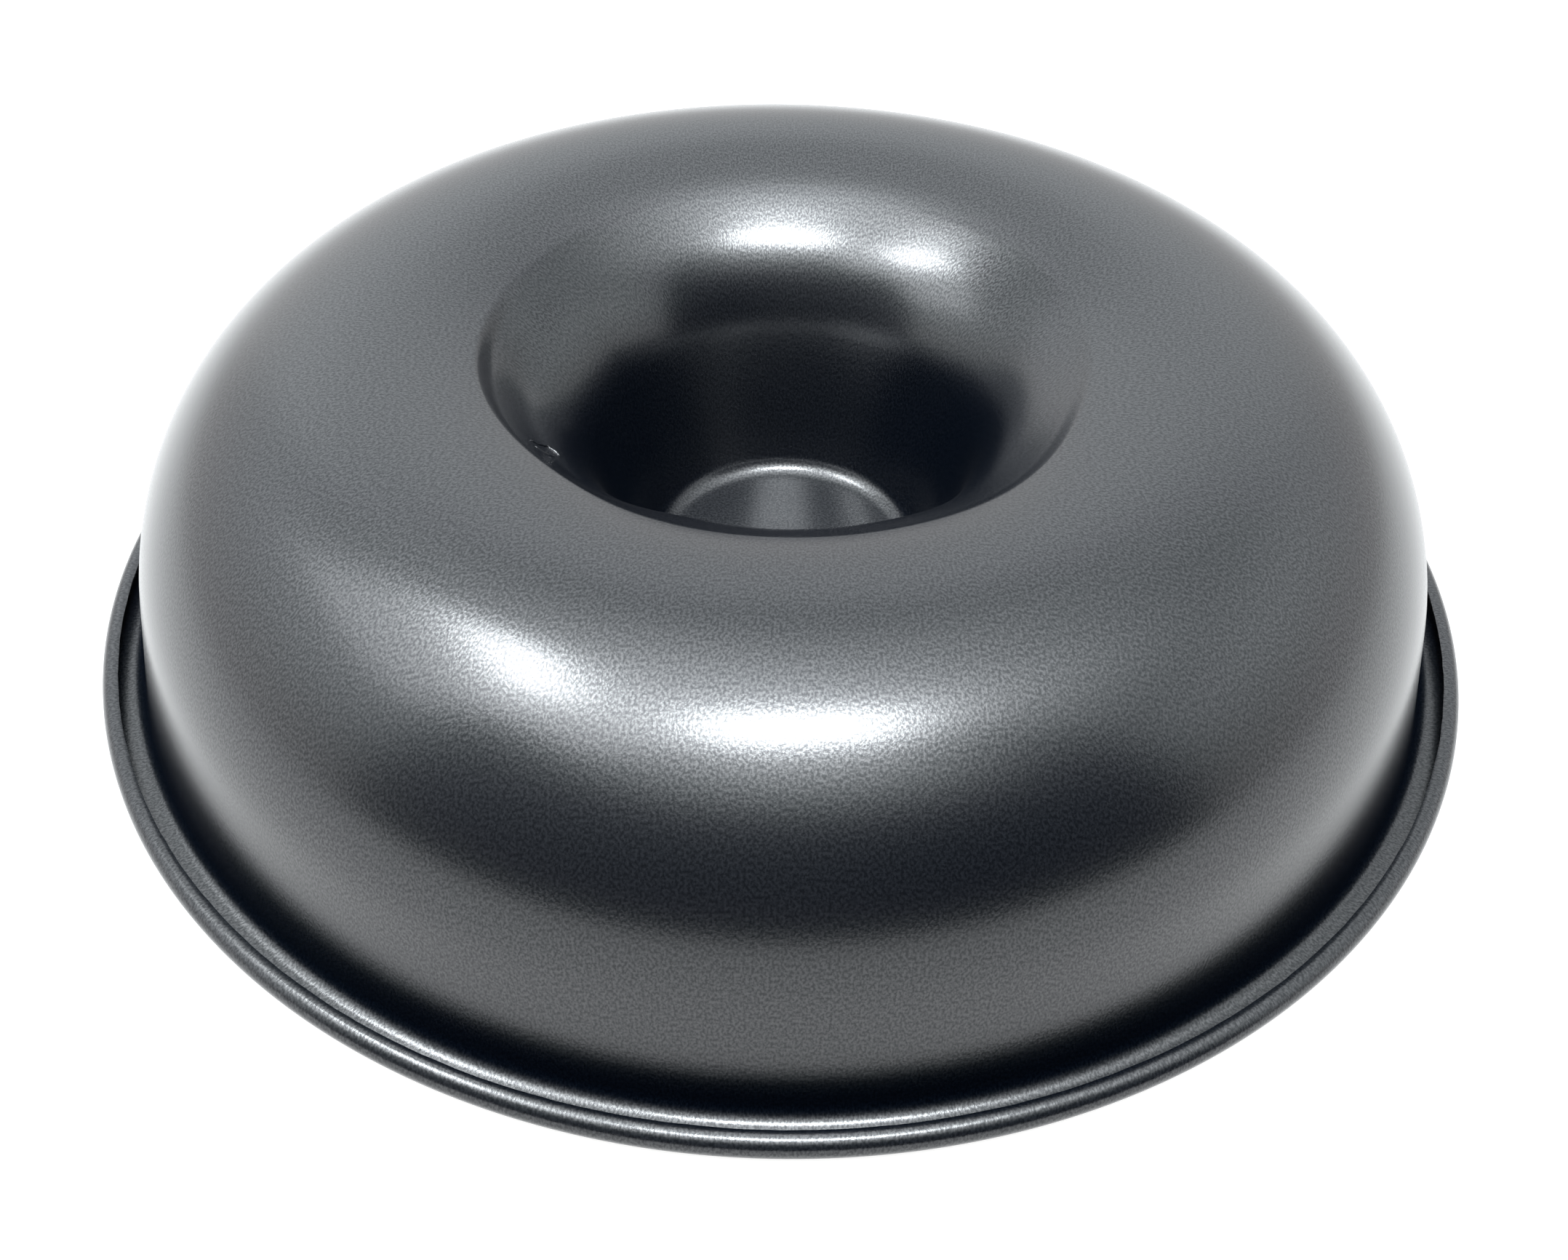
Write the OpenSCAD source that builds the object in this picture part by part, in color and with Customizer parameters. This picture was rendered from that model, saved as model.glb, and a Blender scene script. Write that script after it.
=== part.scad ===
// Ring cake pan pressed from one sheet of steel, lying upside down on its rolled rim.
// The side that shows is the outside of the mould; the cake side is one sheet thickness under it.
// Its section is a chain of straight lines and arcs, each tangent to the next.

/* [Sheet] */
// Thickness of the coated sheet
sheet_t = 0.7; // [0.5:0.05:1]

/* [Rim] */
// Diameter over the rolled rim
rim_d = 240; // [206:1:300]
// Diameter of the roll in section
roll_d = 4; // [3:0.1:5]
// Turn of the roll, from its underside to its free edge, in degrees
roll_turn = 194; // [120:1:230]
// Width of the flat flange between the roll and the foot fillet
flange_w = 1.7; // [0.5:0.1:8]

/* [Outer wall] */
// Draft of the outer wall, in degrees
wall_draft = 5.5; // [2:0.5:12]
// Radius of the hollow fillet between the outer wall and the flange
foot_r = 4.5; // [2:0.5:6]

/* [Crown] */
// Height of the crest above the table
pan_h = 54; // [46:0.5:70]
// Radius from the outer wall up to the crest
shoulder_r = 40.5; // [25:0.5:44]
// Radius from the crest inwards
crest_r = 51; // [36:0.5:60]
// Fall of the crest's inner side where the lip begins, in degrees
crest_slope = 20.5; // [12:0.5:24]

/* [Slope into the tube] */
// Radius of the lip, where the crest breaks over into the slope
lip_r = 8; // [3:0.5:16]
// Fall of the straight slope, in degrees
slope_fall = 33; // [26:0.5:40]
// Width of the straight slope
slope_w = 5.2; // [1:0.1:9]

/* [Tube] */
// Radius of the throat, where the slope turns down into the tube
throat_r = 33; // [20:0.5:35]
// Draft of the tube, in degrees
tube_draft = 20; // [12:0.5:24]
// Height of the tube's closed floor above the table
floor_h = 5; // [2:0.5:12]
// Radius of the fillet round the floor
floor_r = 3.4; // [1.5:0.1:5]

/* [Hidden] */
coating = [0.33, 0.34, 0.35];
$fn = 180;
// Furthest that a chord of the section lies from its arc
bend_tol = 0.02;

// Places in the section are [distance from the axis, height], and directions are angles from level
function dir(a) = [cos(a), sin(a)];
function wall_at(z) = wall_foot[0] - (z - wall_foot[1]) * tan(wall_draft);
function tube_at(z) = throat_end[0] - (throat_end[1] - z) * tan(tube_draft);

// Directions in which the visible side faces: level and outwards is 0, straight up is 90
crest_dir = 90 + crest_slope;
slope_dir = 90 + slope_fall;
tube_dir = 180 - tube_draft;

// Centres of the bends, each worked out from the one before it
roll_c = [rim_d / 2 - roll_d / 2, roll_d / 2];
foot_c = [roll_c[0] - flange_w, sheet_t + foot_r];
wall_foot = foot_c - foot_r * dir(wall_draft);
shoulder_z = pan_h - shoulder_r;
shoulder_c = [wall_at(shoulder_z) - shoulder_r / cos(wall_draft), shoulder_z];
crest_c = [shoulder_c[0], pan_h - crest_r];
lip_c = crest_c + (crest_r - lip_r) * dir(crest_dir);
slope_end = lip_c + lip_r * dir(slope_dir) - slope_w * [1, tan(slope_fall)];
throat_c = slope_end - throat_r * dir(slope_dir);
throat_end = throat_c + throat_r * dir(tube_dir);
floor_z = floor_h + floor_r;
floor_c = [tube_at(floor_z) - floor_r / cos(tube_draft), floor_z];

// Points along an arc, close enough together to keep to bend_tol
function bend(centre, r, from, to) =
    let (steps = ceil(abs(to - from) / (2 * acos(1 - bend_tol / r))))
    [for (i = [0:steps]) centre + r * dir(from + (to - from) * i / steps)];

function but_first(v) = [for (i = [1:len(v) - 1]) v[i]];
function reversed(v) = [for (i = [len(v) - 1:-1:0]) v[i]];

// One side of the sheet, from the free edge of the roll to the middle of the tube's floor.
// It lies at a depth under the visible side, and runs inside the roll where that side turns under.
function side(depth) = concat(
    bend(roll_c, roll_d / 2 - sheet_t + depth, roll_turn - 90, -90),
    bend(foot_c, foot_r + depth, 270, 180 + wall_draft),
    bend(shoulder_c, shoulder_r - depth, wall_draft, 90),
    but_first(bend(crest_c, crest_r - depth, 90, crest_dir)),
    but_first(bend(lip_c, lip_r - depth, crest_dir, slope_dir)),
    bend(throat_c, throat_r - depth, slope_dir, tube_dir),
    bend(floor_c, floor_r + depth, 180 + tube_dir, 270),
    [[0, floor_h - depth]]
);

module pan() {
    color(coating) rotate_extrude()
        polygon(concat(side(0), reversed(side(sheet_t))));
}

pan();
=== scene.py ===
"""Looks of a ring cake pan that lies upside down: coated sheet steel on a pale table."""
import math

import bpy
import numpy as np
from mathutils import Matrix, Vector


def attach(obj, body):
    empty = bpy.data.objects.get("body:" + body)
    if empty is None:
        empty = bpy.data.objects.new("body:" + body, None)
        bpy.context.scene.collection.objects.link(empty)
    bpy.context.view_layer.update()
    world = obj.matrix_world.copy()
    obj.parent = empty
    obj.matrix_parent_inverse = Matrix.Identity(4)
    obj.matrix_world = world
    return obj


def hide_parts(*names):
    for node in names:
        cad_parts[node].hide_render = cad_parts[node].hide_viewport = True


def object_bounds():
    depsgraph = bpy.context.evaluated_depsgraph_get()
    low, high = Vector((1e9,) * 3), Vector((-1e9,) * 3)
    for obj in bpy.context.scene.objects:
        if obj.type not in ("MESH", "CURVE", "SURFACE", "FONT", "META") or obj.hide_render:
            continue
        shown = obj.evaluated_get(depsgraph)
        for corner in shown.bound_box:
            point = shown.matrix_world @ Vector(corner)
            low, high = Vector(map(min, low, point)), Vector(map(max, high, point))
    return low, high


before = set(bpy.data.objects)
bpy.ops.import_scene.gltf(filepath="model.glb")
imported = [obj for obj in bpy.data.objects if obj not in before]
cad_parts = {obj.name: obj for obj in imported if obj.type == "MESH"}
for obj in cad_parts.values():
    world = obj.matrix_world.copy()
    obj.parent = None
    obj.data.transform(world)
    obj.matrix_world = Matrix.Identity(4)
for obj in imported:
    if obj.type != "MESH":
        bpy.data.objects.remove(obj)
CAD_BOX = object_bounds()

MM = 0.001

# Sizes of the pan's section, in millimetres and degrees.
# The frame gives the rim's radius and the height.
RIM_R = min(CAD_BOX[1].x, CAD_BOX[1].y, -CAD_BOX[0].x, -CAD_BOX[0].y) / MM
PAN_H = CAD_BOX[1].z / MM
SHEET_T = 0.7
ROLL_D = 4.0
ROLL_TURN = 207.0
FLANGE_W = 2.6
WALL_DRAFT = 10.0
FOOT_R = 2.7
SHOULDER_R = 40.0
CREST_R = 51.0
CREST_SLOPE = 21.6
LIP_R = 3.2
SLOPE_FALL = 33.0
SLOPE_W = 5.3
THROAT_R = 33.0
TUBE_DRAFT = 20.0
FLOOR_H = 5.9
FLOOR_R = 4.0

# The lip is not quite round, and breaks over more sharply on the left and a little on the right.
# Both go round with the angle from the front, in degrees and positive to the left.
LIP_LINE = (
    (-180, 50.2), (-110, 50.6), (-72, 49.4), (-38, 50.9), (-8, 50.5), (24, 50.7), (45, 50.0),
    (82, 51.1), (130, 50.7), (180, 50.2),
)
LIP_SHARPNESS = (
    (-180, 0.0), (-95, 0.0), (-55, 0.25), (-18, 0.0), (18, 0.0), (52, 1.0), (80, 1.0),
    (118, 0.0), (180, 0.0),
)
LIP_R_EVEN = 51.2

# Radius and width over which the lip's line fades back into the even section
SHIFT_OUTSIDE = (64.0, 12.0)
SHIFT_INSIDE = (28.0, 14.0)

# Where the lip is sharp, a narrow band inside it and the slope after it lie lower
LIP_BAND_W = 2.4
LIP_BAND_DROP = 1.5
LIP_SLOPE_W = 7.0
LIP_SLOPE_DROP = 2.2

# A fine kink follows the lip round the front. It starts a little outside the lip, and fades in
# from one angle and out from the other, each with a width.
LIP_KINK_OUT = 0.3
LIP_KINK_W = 0.7
LIP_KINK_DROP = 0.06
KINK_FROM = (-85.0, 30.0)
KINK_UNTIL = (90.0, 22.0)

# At the front and at the back the inner side lies a little higher, and the back's lip is softer.
# Each part fades from an angle on both sides of the front, over a width.
LIP_FRONT_RISE = 0.2
FRONT_UNTIL = (15.0, 25.0)
LIP_BACK_RISE = 0.35
LIP_BACK_W = 9.0
LIP_BACK_CUT = 0.22
LIP_BACK_HALF_W = 4.0
BACK_FROM = (120.0, 40.0)

# Radius and width over which the lowered throat joins the even tube
LIP_EVEN_R = 33.0
LIP_EVEN_W = 9.0

# The free edge of the roll is a little ragged: waves round the rim, as count, start and size,
# and how far into the roll they reach
RAGGED_WAVES = ((37, 0.4, 0.05), (61, 2.1, 0.05), (97, 4.4, 0.06), (143, 1.3, 0.05), (190, 5.2, 0.05))
RAGGED_REACH = 0.35

# Fineness of the mesh: steps round the axis, how far a chord may lie from its arc, the longest
# step along the section, and the parts with shorter ones, as two radii and a step
AROUND = 400
BEND_TOL = 0.012
LONGEST_STEP = 3.0
FINE_PARTS = ((34.0, 54.0, 1.2), (48.0, 52.0, 0.4))

# Two short runs hardened in the coating inside the lip: angle, radius and thickness along each
RUN_SIDES = 8
RUN_LONG = (
    (62.6, 46.3, 0.08), (63.0, 45.8, 0.16), (63.2, 45.4, 0.20), (63.1, 45.0, 0.13),
    (63.6, 44.5, 0.24), (64.2, 43.9, 0.20), (64.4, 43.5, 0.28), (65.2, 43.0, 0.22),
    (64.6, 42.7, 0.14), (64.0, 42.4, 0.24), (63.6, 42.1, 0.30), (62.8, 41.9, 0.22),
    (62.0, 41.9, 0.10),
)
RUN_SHORT = (
    (60.6, 46.2, 0.06), (60.2, 45.7, 0.10), (60.0, 45.2, 0.08), (59.7, 44.6, 0.12),
    (60.0, 44.0, 0.08), (60.3, 43.5, 0.11), (60.6, 43.1, 0.06),
)

# Millimetres between the grain of the outside and that of the cake side and of each run
CAKE_SIDE_GRAIN = 400.0
RUN_LONG_GRAIN = 300.0
RUN_SHORT_GRAIN = 340.0

# The coating: its colour and refractive index, and its grain by the metre of the flat blank, with
# the depth in metres. Roughness and flakes go with the grain: two grain levels, and the values there.
COAT_COLOUR = (0.0003, 0.0012, 0.0032, 1.0)
COAT_IOR = 1.66
GRAIN_SCALE = 2300.0
GRAIN_DETAIL = 2.0
GRAIN_MIX = 0.6
GRAIN_DEPTH = 2.0e-5
ROUGHNESS = (0.35, 0.65, 0.22, 0.26)
FLAKES = (0.34, 0.66, 0.50, 0.0)

# The table top, in metres: its size, and how far its front edge lies from the pan's axis.
# Its own glow brings it up to a white that shows only the contact shadow.
TABLE_WIDTH = 3.6
TABLE_DEPTH = 3.2
TABLE_FRONT = 0.46
TABLE_GREY = (0.27, 0.27, 0.27, 1.0)
TABLE_GLOW = (1.0, 0.995, 0.985, 1.0)
TABLE_GLOW_LEVEL = 0.85

# Walls of the studio: level by the angle round the table, in degrees. The camera's side is 0,
# and positive is to the right.
WALLS = (
    (-180, 1.43), (-142, 1.66), (-137, 1.36), (-90, 1.84), (-70, 1.70), (-65, 0.46), (-45, 0.29),
    (-20, 0.22), (0, 0.21), (30, 0.12), (66, 0.17), (70, 1.32), (100, 1.50), (136, 1.10),
    (142, 1.22), (160, 1.32), (180, 1.43),
)

# How the walls' level goes up with the elevation, in degrees
WALL_RISE = (
    (0, 0.87), (10, 1.02), (20, 1.22), (29, 1.53), (36, 1.62), (44, 1.33), (52, 1.62), (60, 2.35),
    (68, 2.9), (78, 4.2), (90, 6.2),
)

# The ceiling: the elevation where it begins, and its level overhead
CEILING_FROM = 64.0
CEILING = (6.6, 6.7, 6.8, 1.0)

# A soft glow on the ceiling towards the front: its elevation, how fast it falls off, its level,
# and a squeeze of the directions that makes it wider from side to side
GLOW_UP = 68.0
GLOW_FALL = 27.0
GLOW = (5.2, 5.2, 5.2, 1.0)
GLOW_SQUEEZE = (0.6, 1.0, 1.0)

# Tint of the lamps, and of the walls from an elevation up
TINT = (0.955, 1.0, 1.022)
TINT_FULL_AT = 30.0

WHITE = (1.0, 1.0, 1.0, 1.0)
BLACK = (0.0, 0.0, 0.0, 1.0)

# Lamps, in metres: name, place, width and length, and radiance
LAMPS = (
    ("lamp_over", (0.040, -0.279, 1.295), (0.44, 0.20), 50.0),
    ("panel_over", (0.03, -0.29, 1.31), (0.95, 0.28), 2.6),
    ("lamp_left", (-0.342, 0.002, 0.729), (0.24, 0.09), 42.0),
    ("panel_front", (-0.31, -0.21, 0.67), (0.28, 0.20), 4.0),
    ("panel_left", (-0.36, -0.03, 0.42), (0.30, 0.20), 2.6),
)
LAMPS_AIM = (0.0, 0.0, 0.03)

# Where the picture is taken from, in metres and degrees; lens and sensor in millimetres
SENSOR_W = 36.0
LENS = 38.08
CAMERA_AT = (0.0, -0.2327, 0.2017)
LOOKS_AT = (0.0003, -0.0159, 0.0)
CAMERA_ROLL = 1.31
NEAREST = 0.01


def towards(angle):
    """Unit vector in the section at an angle from level, in degrees."""
    return np.array([math.cos(math.radians(angle)), math.sin(math.radians(angle))])


def arc(centre, radius, start, end):
    """Points along an arc of the section, close enough together to look smooth."""
    turn = math.radians(abs(end - start))
    per_chord = 2 * math.acos(1 - BEND_TOL / radius)
    steps = max(2, math.ceil(turn / min(per_chord, LONGEST_STEP / radius)))
    return [centre + radius * towards(start + (end - start) * i / steps) for i in range(steps + 1)]


def straight(start, end):
    """Points between two places of the section, both left out."""
    steps = math.ceil(float(np.linalg.norm(end - start)) / LONGEST_STEP)
    return [start + (end - start) * i / steps for i in range(1, steps)]


def section_side(depth):
    """One side of the sheet, at a depth under the side that shows, from the free edge to the axis."""
    tan_wall = math.tan(math.radians(WALL_DRAFT))
    tan_slope = math.tan(math.radians(SLOPE_FALL))
    tan_tube = math.tan(math.radians(TUBE_DRAFT))
    crest_dir = 90 + CREST_SLOPE
    slope_dir = 90 + SLOPE_FALL
    tube_dir = 180 - TUBE_DRAFT
    roll_c = roll_centre()
    foot_c = np.array([roll_c[0] - FLANGE_W, SHEET_T + FOOT_R])
    wall_foot = foot_c - FOOT_R * towards(WALL_DRAFT)
    shoulder_z = PAN_H - SHOULDER_R
    shoulder_x = wall_foot[0] - (shoulder_z - wall_foot[1]) * tan_wall
    shoulder_c = np.array([shoulder_x - SHOULDER_R / math.cos(math.radians(WALL_DRAFT)), shoulder_z])
    crest_c = np.array([shoulder_c[0], PAN_H - CREST_R])
    lip_c = crest_c + (CREST_R - LIP_R) * towards(crest_dir)
    slope_end = lip_c + LIP_R * towards(slope_dir) - SLOPE_W * np.array([1, tan_slope])
    throat_c = slope_end - THROAT_R * towards(slope_dir)
    throat_end = throat_c + THROAT_R * towards(tube_dir)
    floor_z = FLOOR_H + FLOOR_R
    floor_x = throat_end[0] - (throat_end[1] - floor_z) * tan_tube
    floor_c = np.array([floor_x - FLOOR_R / math.cos(math.radians(TUBE_DRAFT)), floor_z])
    bends = [
        arc(roll_c, ROLL_D / 2 - SHEET_T + depth, ROLL_TURN - 90, -90),
        arc(foot_c, FOOT_R + depth, 270, 180 + WALL_DRAFT),
        arc(shoulder_c, SHOULDER_R - depth, WALL_DRAFT, 90),
        arc(crest_c, CREST_R - depth, 90, crest_dir)[1:],
        arc(lip_c, LIP_R - depth, crest_dir, slope_dir)[1:],
        arc(throat_c, THROAT_R - depth, slope_dir, tube_dir),
        arc(floor_c, FLOOR_R + depth, 180 + tube_dir, 270),
        [np.array([0.0, FLOOR_H - depth])],
    ]
    points = []
    for bend in bends:
        if points and np.linalg.norm(bend[0] - points[-1]) > LONGEST_STEP:
            points += straight(points[-1], bend[0])
        points += bend
    return np.array(points)


def roll_centre():
    """Centre of the roll in the section."""
    return np.array([RIM_R - ROLL_D / 2, ROLL_D / 2])


def roll_edge():
    """Middle of the roll's free edge in the section."""
    return roll_centre() + (ROLL_D / 2 - SHEET_T / 2) * towards(ROLL_TURN - 90)


def refined(points):
    """The same line with more points in the parts of the lip that need them."""
    for low, high, step in FINE_PARTS:
        finer = [points[0]]
        for start, end in zip(points[:-1], points[1:]):
            length = float(np.linalg.norm(end - start))
            inside = low < (start[0] + end[0]) / 2 < high
            steps = math.ceil(length / step) if inside else 1
            finer += [start + (end - start) * i / steps for i in range(1, steps + 1)]
        points = np.array(finer)
    return points


def smooth_step(value):
    """Rises smoothly from 0 to 1 as the value goes from 0 to 1."""
    t = np.clip(value, 0.0, 1.0)
    return t * t * (3 - 2 * t)


def rising(value, start, width):
    """Rises smoothly from 0 to 1 as the value goes a width past its start."""
    return smooth_step((value - start) / width)


def falling(value, end, width):
    """Falls smoothly from 1 to 0 as the value goes over a width to its end."""
    return smooth_step((end - value) / width)


def eased(value, marks):
    """Level along rising marks of place and level, easing from each mark to the next."""
    places, levels = np.array(marks).T
    i = np.clip(np.searchsorted(places, value, side="right") - 1, 0, len(places) - 2)
    t = rising(value, places[i], places[i + 1] - places[i])
    return levels[i] + (levels[i + 1] - levels[i]) * t


def from_front(turn):
    """Angle from the front in degrees, positive to the left, of a turn round the axis in radians."""
    return (-90 - np.degrees(turn) + 180) % 360 - 180


def lip_shift(radius, turn):
    """How far inwards the lip and its surroundings lie from their even circle, in millimetres."""
    shift = LIP_R_EVEN - eased(from_front(turn), LIP_LINE)
    return shift * falling(radius, *SHIFT_OUTSIDE) * rising(radius, *SHIFT_INSIDE)


def lip_drop(radius, turn):
    """How far the lip and the throat lie lower than the even section, in millimetres."""
    left = from_front(turn)
    sharp = eased(left, LIP_SHARPNESS)
    crisp = rising(left, *KINK_FROM) * (1 - rising(left, *KINK_UNTIL))
    front = 1 - rising(np.abs(left), *FRONT_UNTIL)
    back = rising(np.abs(left), *BACK_FROM)
    inwards = LIP_R_EVEN - radius
    band = LIP_BAND_DROP * rising(inwards, 0.0, LIP_BAND_W)
    slope = LIP_SLOPE_DROP * rising(inwards, LIP_BAND_W / 2, LIP_SLOPE_W)
    kink = LIP_KINK_DROP * rising(inwards, -LIP_KINK_OUT, LIP_KINK_W)
    front_rise = LIP_FRONT_RISE * rising(inwards, 0.0, LIP_SLOPE_W)
    back_rise = LIP_BACK_RISE * rising(inwards, -LIP_BACK_W, LIP_BACK_W)
    back_cut = LIP_BACK_CUT * np.clip(1 - np.abs(inwards) / LIP_BACK_HALF_W, 0.0, 1.0) ** 2
    drop = sharp * (band + slope) + crisp * kink - front * front_rise + back * (back_cut - back_rise)
    return drop * (1 - falling(radius, LIP_EVEN_R, LIP_EVEN_W))


def ragged(turn):
    """How far the free edge of the roll runs past its even line, in millimetres."""
    return sum(size * np.sin(count * turn + start) for count, start, size in RAGGED_WAVES)


def blank_radius(side):
    """Where each point of a side lay on the flat round blank, if pressing kept the sheet's area."""
    r = side[::-1, 0]
    steps = np.linalg.norm(np.diff(side[::-1], axis=0), axis=1)
    area = np.concatenate([[0.0], np.cumsum((r[1:] + r[:-1]) / 2 * steps)])
    return np.sqrt(2 * area)[::-1]


def keep_blank(mesh, places):
    """Gives each point its place on the blank, in millimetres, for the grain of the coating."""
    attribute = mesh.attributes.new("blank", "FLOAT_VECTOR", "POINT")
    attribute.data.foreach_set("vector", (places * MM).astype(np.float32).ravel())


def smooth_object(name, mesh):
    """A new object in the scene, with smooth faces."""
    for face in mesh.polygons:
        face.use_smooth = True
    thing = bpy.data.objects.new(name, mesh)
    bpy.context.scene.collection.objects.link(thing)
    return thing


def lathe(name, outline, flat_r, layer):
    """A ring mesh turned from a closed outline whose first and last points lie on the axis."""
    turns = np.arange(AROUND) * 2 * math.pi / AROUND
    cos, sin = np.cos(turns), np.sin(turns)
    rings = outline[1:-1]
    ring_count = len(rings)
    verts = np.empty((ring_count, AROUND, 3))
    radius = rings[:, None, 0] - lip_shift(rings[:, None, 0], turns[None, :])
    verts[..., 0] = radius * cos
    verts[..., 1] = radius * sin
    verts[..., 2] = rings[:, None, 1] - lip_drop(rings[:, None, 0], turns[None, :])
    from_edge = np.linalg.norm(rings - roll_edge(), axis=1)
    past = np.exp(-from_edge / RAGGED_REACH)[:, None] * ragged(turns)[None, :]
    along = towards(ROLL_TURN)
    verts[..., 0] += past * along[0] * cos
    verts[..., 1] += past * along[0] * sin
    verts[..., 2] += past * along[1]
    poles = [[0, 0, outline[0][1]], [0, 0, outline[-1][1]]]
    verts = np.concatenate([verts.reshape(-1, 3), poles]) * MM
    mesh = bpy.data.meshes.new(name)
    mesh.from_pydata(verts.tolist(), [], ring_faces(ring_count))
    flat = np.zeros((len(verts), 3))
    grid = flat[:-2].reshape(ring_count, AROUND, 3)
    grid[..., 0] = flat_r[1:-1, None] * cos
    grid[..., 1] = flat_r[1:-1, None] * sin
    grid[..., 2] = layer[1:-1, None]
    keep_blank(mesh, flat)
    mesh.update()
    return mesh


def ring_faces(ring_count):
    """Faces between neighbouring rings, and from the outermost two to their poles."""
    faces = []
    for i in range(ring_count - 1):
        for j in range(AROUND):
            k = (j + 1) % AROUND
            faces.append((i * AROUND + j, i * AROUND + k, (i + 1) * AROUND + k, (i + 1) * AROUND + j))
    first_pole = ring_count * AROUND
    last_ring = (ring_count - 1) * AROUND
    for j in range(AROUND):
        k = (j + 1) % AROUND
        faces.append((first_pole, k, j))
        faces.append((first_pole + 1, last_ring + j, last_ring + k))
    return faces


def make_pan():
    """The whole sheet as one closed mesh: the side that shows, the cut edge and the cake side."""
    outer, inner = refined(section_side(0.0)), section_side(SHEET_T)
    outline = np.concatenate([outer[::-1], inner])
    flat_r = np.concatenate([blank_radius(outer)[::-1], blank_radius(inner)])
    layer = np.concatenate([np.zeros(len(outer)), np.full(len(inner), CAKE_SIDE_GRAIN)])
    mesh = lathe("pan_sheet", outline, flat_r, layer)
    thing = smooth_object("pan_sheet", mesh)
    mark_cut_edge(mesh, len(outer) - 2)
    return thing


def mark_cut_edge(mesh, edge_ring):
    """Sharpens the two rims of the cut edge, so that it shades as a narrow flat."""
    sharp = mesh.attributes.new("sharp_edge", "BOOLEAN", "EDGE")
    ends = np.array([e.vertices[:] for e in mesh.edges]) // AROUND
    marked = np.zeros(len(ends), dtype=bool)
    for ring in (edge_ring, edge_ring + 1):
        marked |= (ends[:, 0] == ring) & (ends[:, 1] == ring)
    sharp.data.foreach_set("value", marked)


def on_pan(left, radius):
    """A place on the side that shows, by its angle from the front and its radius before the shift."""
    side = section_side(0.0)[::-1]
    turn = math.radians(-90 - left)
    height = float(np.interp(radius, side[:, 0], side[:, 1])) - float(lip_drop(radius, turn))
    shifted = radius - float(lip_shift(radius, turn))
    return np.array([shifted * math.cos(turn), shifted * math.sin(turn), height])


def make_run(name, marks, grain_off):
    """A thin hardened run in the coating, along marks of angle, radius and thickness in millimetres."""
    places = np.array([on_pan(left, radius) for left, radius, thick in marks])
    verts = []
    for i, (place, (left, radius, thick)) in enumerate(zip(places, marks)):
        ahead = places[min(i + 1, len(marks) - 1)] - places[max(i - 1, 0)]
        ahead = ahead / np.linalg.norm(ahead)
        across = np.cross(ahead, [0.0, 0.0, 1.0])
        across = across / np.linalg.norm(across)
        up = np.cross(across, ahead)
        for k in range(RUN_SIDES):
            angle = 2 * math.pi * k / RUN_SIDES
            verts.append(place + thick * (math.cos(angle) * across + math.sin(angle) * up))
    faces = []
    for i in range(len(marks) - 1):
        for k in range(RUN_SIDES):
            m = (k + 1) % RUN_SIDES
            a, b = i * RUN_SIDES, (i + 1) * RUN_SIDES
            faces.append((a + k, b + k, b + m, a + m))
    faces.append(tuple(range(RUN_SIDES)))
    faces.append(tuple(reversed(range(len(verts) - RUN_SIDES, len(verts)))))
    mesh = bpy.data.meshes.new(name)
    mesh.from_pydata((np.array(verts) * MM).tolist(), [], faces)
    keep_blank(mesh, np.array(verts) + [grain_off, 0.0, 0.0])
    return smooth_object(name, mesh)


class Nodes:
    """Adds nodes to a tree by plain calls."""

    def __init__(self, tree):
        self.tree = tree
        tree.nodes.clear()

    def add(self, kind, inputs=None, **settings):
        node = self.tree.nodes.new(kind)
        for key, value in settings.items():
            setattr(node, key, value)
        for key, value in (inputs or {}).items():
            self.feed(node.inputs[key], value)
        return node

    def feed(self, socket, value):
        if isinstance(value, bpy.types.NodeSocket):
            self.tree.links.new(value, socket)
        else:
            socket.default_value = value

    def math(self, operation, a, b=0.0, clamp=False):
        node = self.add("ShaderNodeMath", {0: a, 1: b}, operation=operation, use_clamp=clamp)
        return node.outputs[0]

    def smooth(self, value, start, end, low=0.0, high=1.0):
        node = self.add(
            "ShaderNodeMapRange",
            {"Value": value, "From Min": start, "From Max": end, "To Min": low, "To Max": high},
            interpolation_type="SMOOTHSTEP",
        )
        return node.outputs["Result"]

    def mix(self, factor, a, b, blend="MIX"):
        node = self.add("ShaderNodeMix", data_type="RGBA", blend_type=blend)
        self.feed(node.inputs[0], factor)
        self.feed(node.inputs[6], a)
        self.feed(node.inputs[7], b)
        return node.outputs[2]

    def ramp(self, value, stops):
        """A run of grey levels along a value from 0 to 1."""
        node = self.add("ShaderNodeValToRGB", {0: value})
        marks = node.color_ramp.elements
        while len(marks) < len(stops):
            marks.new(0.5)
        for mark, (place, level) in zip(marks, stops):
            mark.position = place
        for mark, (place, level) in zip(marks, stops):
            mark.color = (level, level, level, 1.0)
        return node.outputs["Color"]


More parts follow.
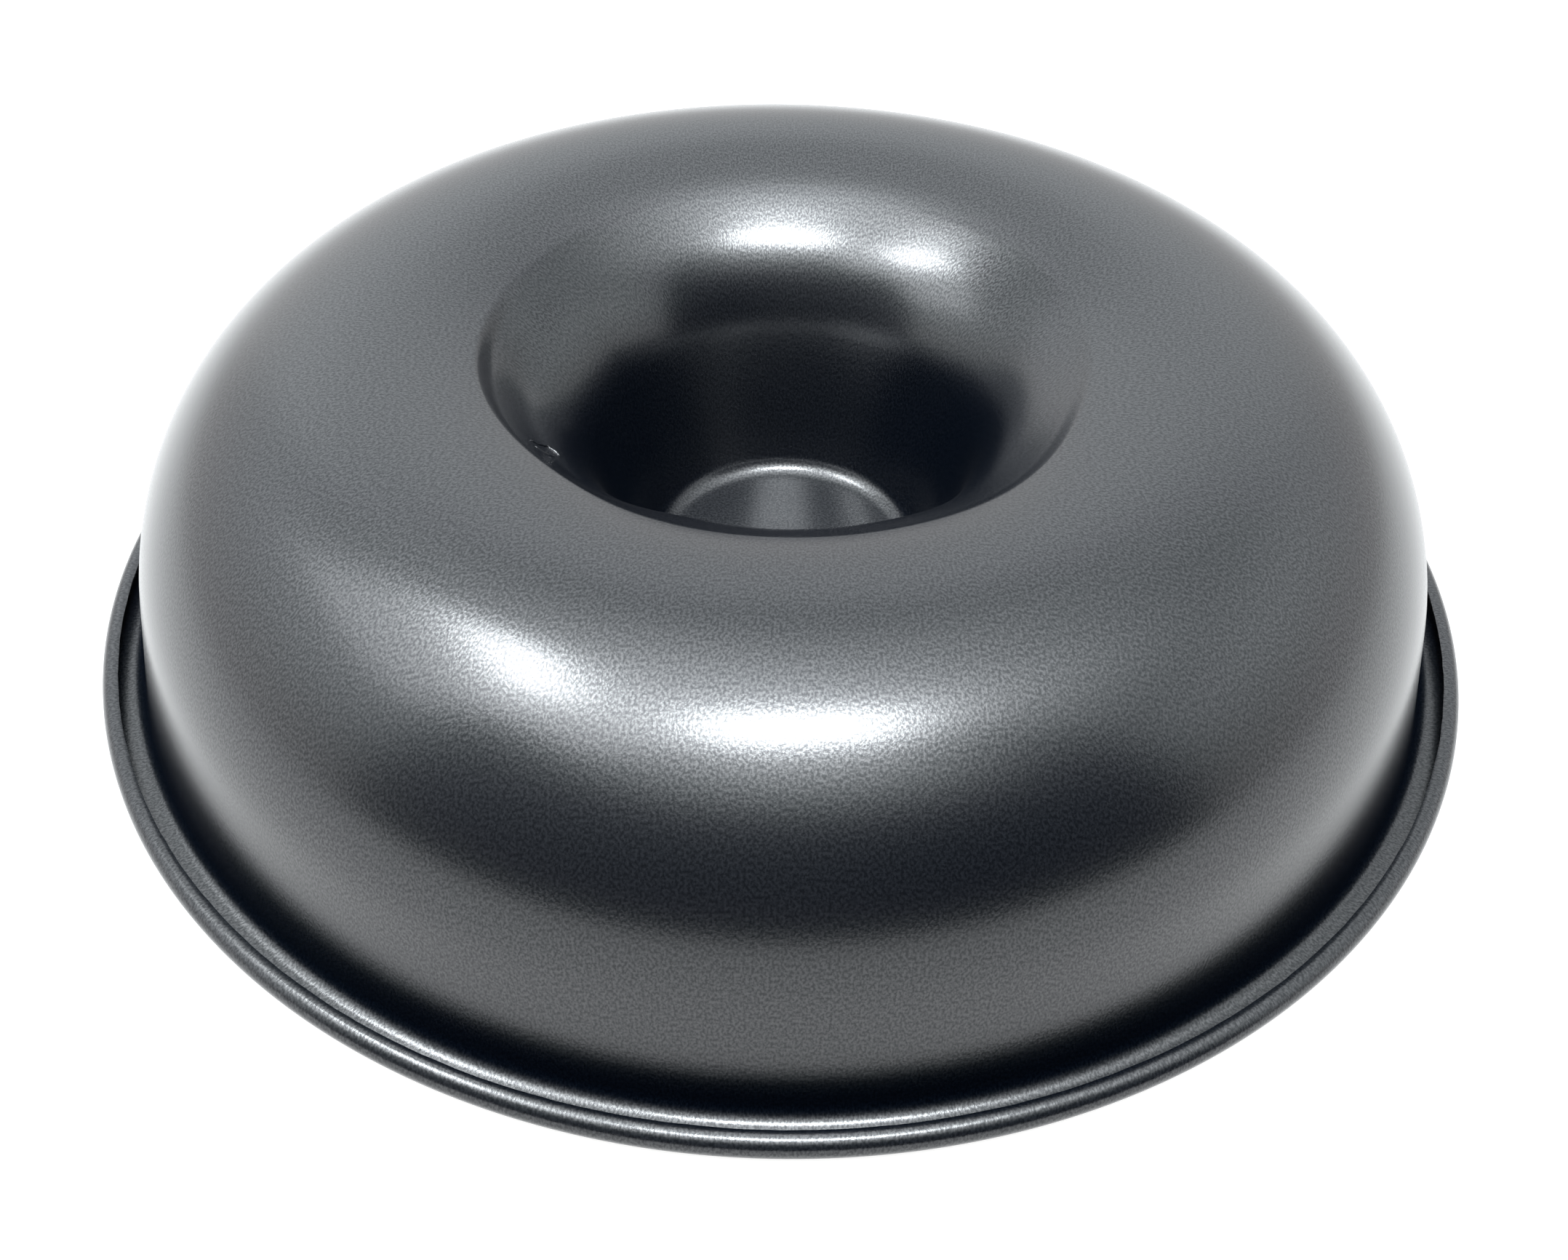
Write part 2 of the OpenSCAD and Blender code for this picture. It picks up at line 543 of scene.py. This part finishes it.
def coating():
    """Dark non-stick coating: glossy, with the fine grain of flakes stretched by the pressing."""
    material = bpy.data.materials.new("coated_steel")
    material.use_nodes = True
    n = Nodes(material.node_tree)
    blank = n.add("ShaderNodeAttribute", attribute_name="blank").outputs["Vector"]
    grain = n.add(
        "ShaderNodeTexNoise",
        {"Vector": blank, "Scale": GRAIN_SCALE, "Detail": GRAIN_DETAIL, "Roughness": GRAIN_MIX},
    ).outputs["Fac"]
    bump = n.add("ShaderNodeBump", {"Height": grain, "Strength": 1.0, "Distance": GRAIN_DEPTH})
    shader = n.add(
        "ShaderNodeBsdfPrincipled",
        {
            "Base Color": COAT_COLOUR,
            "Metallic": n.smooth(grain, *FLAKES),
            "Roughness": n.smooth(grain, *ROUGHNESS),
            "IOR": COAT_IOR,
            "Normal": bump.outputs["Normal"],
        },
    )
    n.add("ShaderNodeOutputMaterial", {"Surface": shader.outputs["BSDF"]})
    return material


def pale_table():
    """A large pale table top, bright enough to show only the contact shadow."""
    bpy.ops.mesh.primitive_plane_add(size=1.0, location=(0, TABLE_DEPTH / 2 - TABLE_FRONT, 0))
    table = bpy.context.object
    table.scale = (TABLE_WIDTH, TABLE_DEPTH, 1.0)
    table.name = "pale_table"
    material = bpy.data.materials.new("pale_table")
    material.use_nodes = True
    n = Nodes(material.node_tree)
    diffuse = n.add("ShaderNodeBsdfDiffuse", {"Color": TABLE_GREY})
    glow = n.add("ShaderNodeEmission", {"Color": TABLE_GLOW, "Strength": TABLE_GLOW_LEVEL})
    both = n.add("ShaderNodeAddShader", {0: diffuse.outputs[0], 1: glow.outputs[0]})
    n.add("ShaderNodeOutputMaterial", {"Surface": both.outputs[0]})
    table.data.materials.append(material)


def walls(n, azimuth, elevation):
    """Level of the studio's walls, by the direction in degrees."""
    round_about = n.math("DIVIDE", n.math("ADD", azimuth, 180.0), 360.0)
    level = n.ramp(round_about, [((angle + 180) / 360, level) for angle, level in WALLS])
    up = n.math("DIVIDE", elevation, 90.0, clamp=True)
    rise = n.ramp(up, [(angle / 90, level) for angle, level in WALL_RISE])
    return n.mix(1.0, level, rise, "MULTIPLY")


def ceiling_glow(n, direction):
    """Level of the soft glow on the ceiling, by the direction."""
    glow_at = (0.0, -math.cos(math.radians(GLOW_UP)), math.sin(math.radians(GLOW_UP)))
    squeezed = n.add("ShaderNodeVectorMath", {0: direction, 1: GLOW_SQUEEZE}, operation="MULTIPLY")
    unit = n.add("ShaderNodeVectorMath", {0: squeezed.outputs[0]}, operation="NORMALIZE")
    along = n.add("ShaderNodeVectorMath", {0: unit.outputs[0], 1: glow_at}, operation="DOT_PRODUCT")
    share = n.math("POWER", n.math("MAXIMUM", along.outputs["Value"], 0.0), GLOW_FALL)
    return n.mix(share, BLACK, GLOW)


def studio():
    """White walls round the table, a darker room on the camera's side, and a glowing ceiling."""
    world = bpy.data.worlds.new("studio")
    bpy.context.scene.world = world
    world.use_nodes = True
    n = Nodes(world.node_tree)
    direction = n.add("ShaderNodeTexCoord").outputs["Generated"]
    x, y, z = n.add("ShaderNodeSeparateXYZ", {0: direction}).outputs
    azimuth = n.math("MULTIPLY", n.math("ARCTAN2", x, n.math("MULTIPLY", y, -1.0)), 180 / math.pi)
    elevation = n.math("MULTIPLY", n.math("ARCSINE", z), 180 / math.pi)
    room = n.mix(n.smooth(elevation, CEILING_FROM, 90.0), walls(n, azimuth, elevation), CEILING)
    lit = n.mix(1.0, room, ceiling_glow(n, direction), "ADD")
    tint = n.mix(n.smooth(elevation, 0.0, TINT_FULL_AT), WHITE, (*TINT, 1.0))
    tinted = n.mix(1.0, lit, tint, "MULTIPLY")
    path = n.add("ShaderNodeLightPath")
    shown = n.mix(path.outputs["Is Camera Ray"], tinted, WHITE)
    light = n.add("ShaderNodeBackground", {"Color": shown, "Strength": 1.0})
    n.add("ShaderNodeOutputWorld", {"Surface": light.outputs[0]})


def lamp(name, place, size, radiance):
    """A soft rectangular lamp over the table."""
    light = bpy.data.lights.new(name, "AREA")
    light.shape = "RECTANGLE"
    light.size, light.size_y = size
    light.energy = radiance * 4 * size[0] * size[1]
    light.color = TINT
    holder = bpy.data.objects.new(name, light)
    bpy.context.scene.collection.objects.link(holder)
    holder.location = place
    holder.rotation_mode = "QUATERNION"
    holder.rotation_quaternion = (Vector(LAMPS_AIM) - Vector(place)).to_track_quat("-Z", "Y")
    holder.visible_camera = False


def make_camera():
    """The camera, at the place and tilt of the picture."""
    data = bpy.data.cameras.new("camera")
    data.sensor_width = SENSOR_W
    data.sensor_fit = "HORIZONTAL"
    data.lens = LENS
    data.clip_start = NEAREST
    camera = bpy.data.objects.new("camera", data)
    bpy.context.scene.collection.objects.link(camera)
    look = Vector(LOOKS_AT) - Vector(CAMERA_AT)
    camera.rotation_mode = "QUATERNION"
    turn = look.to_track_quat("-Z", "Y").to_matrix().to_4x4()
    roll = Matrix.Rotation(math.radians(CAMERA_ROLL), 4, "Z")
    camera.matrix_world = Matrix.Translation(CAMERA_AT) @ turn @ roll
    bpy.context.scene.camera = camera


bpy.context.scene.view_settings.view_transform = "Standard"
coat = coating()
pan = make_pan()
pan.data.materials.append(coat)
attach(pan, "root")
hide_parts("pan")
run_long = make_run("run_long", RUN_LONG, RUN_LONG_GRAIN)
run_short = make_run("run_short", RUN_SHORT, RUN_SHORT_GRAIN)
for run in (run_long, run_short):
    run.data.materials.append(coat)
    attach(run, "root")
pale_table()
studio()
for name, place, size, radiance in LAMPS:
    lamp(name, place, size, radiance)
make_camera()
